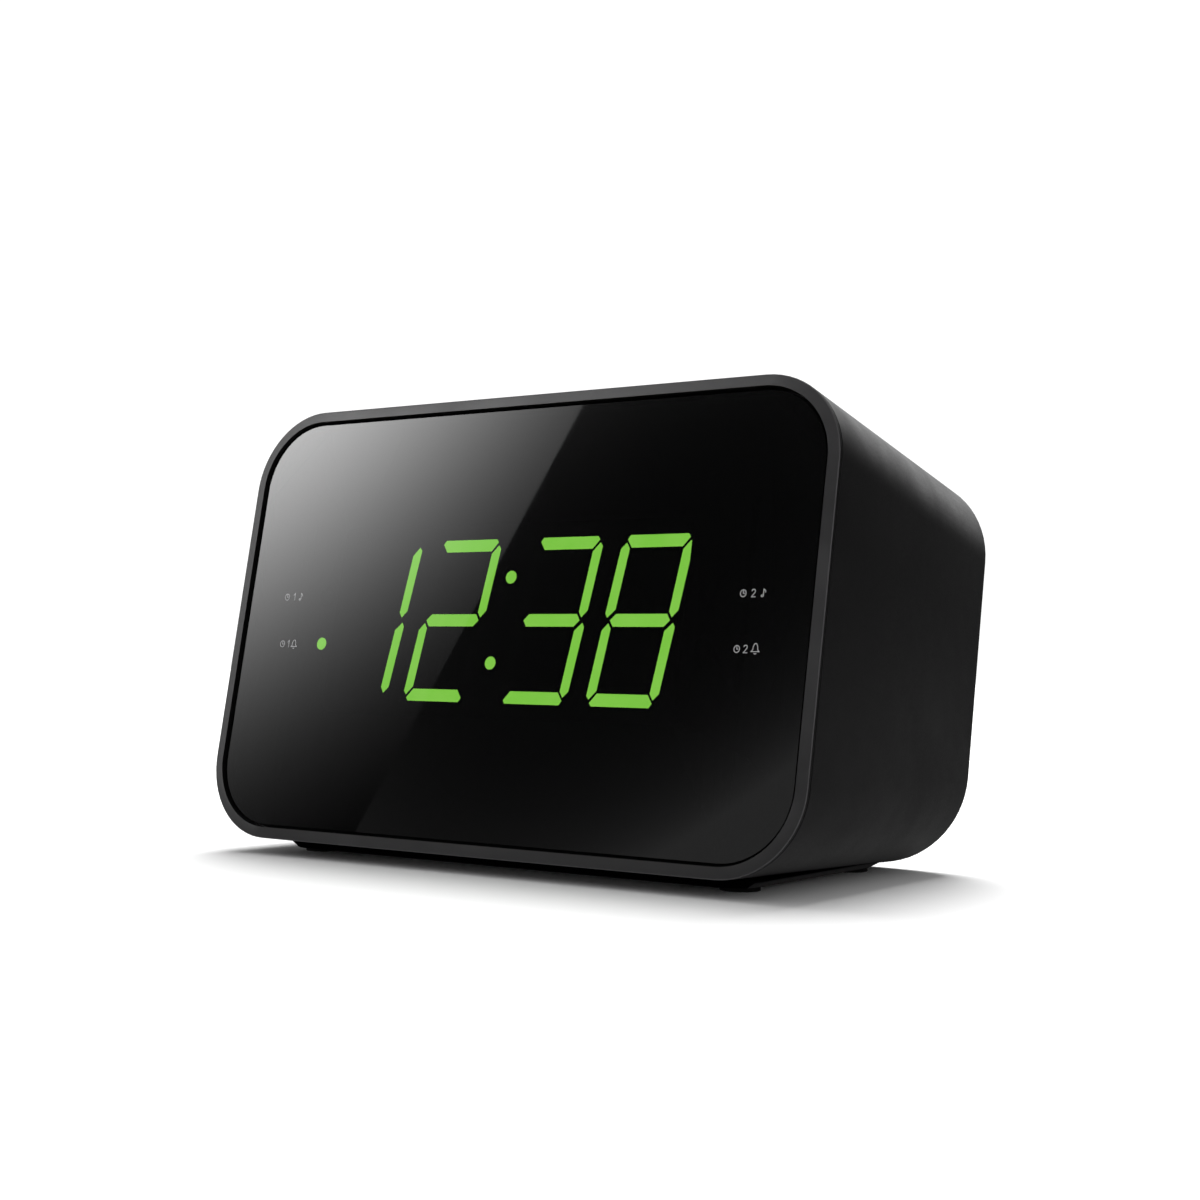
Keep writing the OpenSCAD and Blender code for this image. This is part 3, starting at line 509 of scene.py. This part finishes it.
# ---------------------------------------------------------------- stage
def card(name, origin, ex, ey, outline, build):
    """A softbox that only shows in reflections; outline and build use metres along ex and ey."""
    me = bpy.data.meshes.new(name)
    me.from_pydata([(x, y, 0) for x, y in outline], [], [tuple(range(len(outline)))])
    ob = bpy.data.objects.new(name, me)
    ez = ex.cross(ey)
    ob.matrix_world = Matrix(((ex.x, ey.x, ez.x, origin.x), (ex.y, ey.y, ez.y, origin.y), (ex.z, ey.z, ez.z, origin.z), (0, 0, 0, 1)))
    coll.objects.link(ob)
    m = bpy.data.materials.new(name)
    m.use_nodes = True
    nt = m.node_tree
    nt.nodes.clear()
    out = nt.nodes.new("ShaderNodeOutputMaterial")
    em = nt.nodes.new("ShaderNodeEmission")
    nt.links.new(em.outputs[0], out.inputs[0])
    build(nt, em)
    me.materials.append(m)
    ob.visible_camera = False
    ob.visible_diffuse = False
    ob.visible_shadow = False
    ob.visible_transmission = False
    return ob


def math_node(nt, op, a, b=None):
    n = nt.nodes.new("ShaderNodeMath")
    n.operation = op
    for i, x in enumerate((a, b)):
        if x is None:
            continue
        if isinstance(x, (int, float)):
            n.inputs[i].default_value = x
        else:
            nt.links.new(x, n.inputs[i])
    return n.outputs[0]


def quadratic(nt, em, c, top, scale=10.0):
    """Emission exp(c0 + c1 x + c2 y + c3 x2 + c4 xy + c5 y2), x and y in decimetres."""
    co = nt.nodes.new("ShaderNodeTexCoord").outputs["Object"]
    sep = nt.nodes.new("ShaderNodeSeparateXYZ")
    nt.links.new(co, sep.inputs[0])
    x = math_node(nt, "MULTIPLY", sep.outputs["X"], scale)
    y = math_node(nt, "MULTIPLY", sep.outputs["Y"], scale)
    terms = [math_node(nt, "MULTIPLY", x, c[1]), math_node(nt, "MULTIPLY", y, c[2]),
             math_node(nt, "MULTIPLY", math_node(nt, "MULTIPLY", x, x), c[3]),
             math_node(nt, "MULTIPLY", math_node(nt, "MULTIPLY", x, y), c[4]),
             math_node(nt, "MULTIPLY", math_node(nt, "MULTIPLY", y, y), c[5])]
    total = math_node(nt, "ADD", terms[0], c[0])
    for t in terms[1:]:
        total = math_node(nt, "ADD", total, t)
    val = math_node(nt, "MINIMUM", math_node(nt, "EXPONENT", total), top)
    nt.links.new(val, em.inputs["Strength"])


# the main softbox, in front to the left and above: the lens mirrors it, cut off along its right-hand edge
D = Vector((-0.56321, -0.76221, 0.31911)).normalized()
EX = D.cross(Vector((0, 0, 1))).normalized()
EY = EX.cross(D)
CENTRE = at(0.51, 0.38, -0.14) + D * 0.7
edge = [(0.0014, 0.1746), (0.0132, 0.1312), (0.0216, 0.1005), (0.03, 0.0698), (0.0383, 0.0394), (0.0466, 0.0091), (0.0548, -0.021), (0.063, -0.051), (0.0711, -0.0808), (0.0792, -0.1105), (0.0873, -0.14), (0.0953, -0.1694), (0.1033, -0.1986)]
card("softbox_left", CENTRE, EX, EY,
     edge + [(0.42, -0.1986), (0.42, 0.42), (-0.10, 0.42)],
     lambda nt, em: quadratic(nt, em, (-2.384, 3.677, 2.31, -0.752, -0.669, -0.416), 11.0))


def low_glow(nt, em):
    quadratic(nt, em, (-3.572, 0.933, 0.244, 1.173, 1.327, 0.857), 0.45)


card("softbox_low", at(0.51, 0.38, -0.14) + D * 0.71, EX, EY,
     [(-0.24, -0.30), (0.42, -0.30), (0.42, 0.42), (-0.24, 0.42)], low_glow)

# floor: plain and pale
me = bpy.data.meshes.new("floor")
me.from_pydata([(-12, -12, 0), (12, -12, 0), (12, 12, 0), (-12, 12, 0)], [], [(0, 1, 2, 3)])
floor = bpy.data.objects.new("floor", me)
coll.objects.link(floor)
m, nt, p = tree("floor")
p.inputs["Base Color"].default_value = (0.86, 0.86, 0.86, 1)
p.inputs["Roughness"].default_value = 0.9
p.inputs["Specular IOR Level"].default_value = 0.0
dim = nt.nodes.new("ShaderNodeEmission")
# what the glossy pieces mirror of the floor: a dim glow, with a painted contact shadow that fades it out near the base
here = nt.nodes.new("ShaderNodeTexCoord").outputs["Object"]
for op, other in (("ABSOLUTE", None), ("SUBTRACT", (0.055, 0.030, 0.0)), ("MAXIMUM", (0.0, 0.0, 0.0)), ("LENGTH", None)):
    step = nt.nodes.new("ShaderNodeVectorMath")
    step.operation = op
    nt.links.new(here, step.inputs[0])
    if other:
        step.inputs[1].default_value = other
    here = step.outputs["Value" if op == "LENGTH" else "Vector"]
nt.links.new(remap(nt, here, 0.0, 0.016, 0.0, 0.136, True), dim.inputs["Strength"])
choose = nt.nodes.new("ShaderNodeMixShader")
rays = nt.nodes.new("ShaderNodeLightPath")
nt.links.new(rays.outputs["Is Glossy Ray"], choose.inputs[0])
nt.links.new(p.outputs[0], choose.inputs[1])
nt.links.new(dim.outputs[0], choose.inputs[2])
# clear from below, so that the underside can be looked at
below = nt.nodes.new("ShaderNodeMixShader")
nt.links.new(nt.nodes.new("ShaderNodeNewGeometry").outputs["Backfacing"], below.inputs[0])
nt.links.new(choose.outputs[0], below.inputs[1])
nt.links.new(nt.nodes.new("ShaderNodeBsdfTransparent").outputs[0], below.inputs[2])
nt.links.new(below.outputs[0], nt.nodes["Material Output"].inputs["Surface"])
m.cycles.emission_sampling = "NONE"
me.materials.append(m)

# world: white behind the object; even soft light; dark with soft panels in reflections
world = bpy.data.worlds.new("studio")
scene.world = world
world.use_nodes = True
nt = world.node_tree
nt.nodes.clear()
out = nt.nodes.new("ShaderNodeOutputWorld")
path = nt.nodes.new("ShaderNodeLightPath")
gen = nt.nodes.new("ShaderNodeTexCoord").outputs["Generated"]


def panel(direction, inner, outer, strength):
    d = Vector(direction).normalized()
    n = nt.nodes.new("ShaderNodeVectorMath")
    n.operation = "DOT_PRODUCT"
    nt.links.new(gen, n.inputs[0])
    n.inputs[1].default_value = d
    return remap(nt, n.outputs["Value"], math.cos(math.radians(outer)), math.cos(math.radians(inner)), 0.0, strength, True)


def world_light(panels, base):
    total = panels[0]
    for q in panels[1:]:
        total = math_node(nt, "ADD", total, q)
    bg = nt.nodes.new("ShaderNodeBackground")
    nt.links.new(math_node(nt, "ADD", total, base), bg.inputs["Strength"])
    return bg


back = nt.nodes.new("ShaderNodeBackground")
back.inputs["Strength"].default_value = 1.4
room = nt.nodes.new("ShaderNodeBackground")
room.inputs["Strength"].default_value = 0.60
seen = world_light([
    panel((0.0, 0.10, 1.0), 10, 45, 1.0),
    panel((-0.22, 0.88, 0.42), 6, 30, 1.3),
    panel((0.9, -0.5, 0.45), 10, 45, 0.20),
    panel((-0.82, 0.57, 0.08), 5, 15, 1.2),
], 0.022)
world.cycles.sampling_method = "NONE"
mix1 = nt.nodes.new("ShaderNodeMixShader")
nt.links.new(path.outputs["Is Camera Ray"], mix1.inputs[0])
nt.links.new(room.outputs[0], mix1.inputs[1])
nt.links.new(back.outputs[0], mix1.inputs[2])
mix2 = nt.nodes.new("ShaderNodeMixShader")
nt.links.new(path.outputs["Is Glossy Ray"], mix2.inputs[0])
nt.links.new(mix1.outputs[0], mix2.inputs[1])
nt.links.new(seen.outputs[0], mix2.inputs[2])
nt.links.new(mix2.outputs[0], out.inputs[0])

# the overhead lamp stands behind and to the left; it gives the soft shadow in front of the object
lamp = bpy.data.lights.new("overhead", "SUN")
lamp.energy = 4.9
lamp.angle = math.radians(38.0)
lamp_ob = bpy.data.objects.new("overhead", lamp)
lamp_ob.rotation_mode = "QUATERNION"
lamp_ob.rotation_quaternion = Vector((-0.2438, 0.4162, 0.8759)).to_track_quat("Z", "Y")
lamp_ob.visible_glossy = False
coll.objects.link(lamp_ob)

# a weak wide light from below, which the floor doesn't block, for the underside
under = bpy.data.lights.new("from_below", "SUN")
under.energy = 1.2
under.angle = math.radians(45.0)
under_ob = bpy.data.objects.new("from_below", under)
under_ob.rotation_mode = "QUATERNION"
under_ob.rotation_quaternion = Vector((0, 0, -1)).to_track_quat("Z", "Y")
under_ob.visible_glossy = False
coll.objects.link(under_ob)
floor.visible_shadow = False

# ---------------------------------------------------------------- camera
A, PITCH, ROLL = math.radians(34.308), math.radians(2.245), math.radians(1.086)
f = Vector((-math.sin(A) * math.cos(PITCH), math.cos(A) * math.cos(PITCH), math.sin(PITCH)))
right = Vector((math.cos(A), math.sin(A), 0))
up = right.cross(f)
r2 = right * math.cos(ROLL) + up * math.sin(ROLL)
u2 = -right * math.sin(ROLL) + up * math.cos(ROLL)
loc = FACE + Vector((0.230665, -0.300473, -0.010121))
data = bpy.data.cameras.new("camera")
data.sensor_width = 36.0
data.lens = 54.417
data.clip_start, data.clip_end = 0.01, 50.0
cam = bpy.data.objects.new("camera", data)
cam.matrix_world = Matrix(((r2.x, u2.x, -f.x, loc.x), (r2.y, u2.y, -f.y, loc.y), (r2.z, u2.z, -f.z, loc.z), (0, 0, 0, 1)))
coll.objects.link(cam)
scene.camera = cam
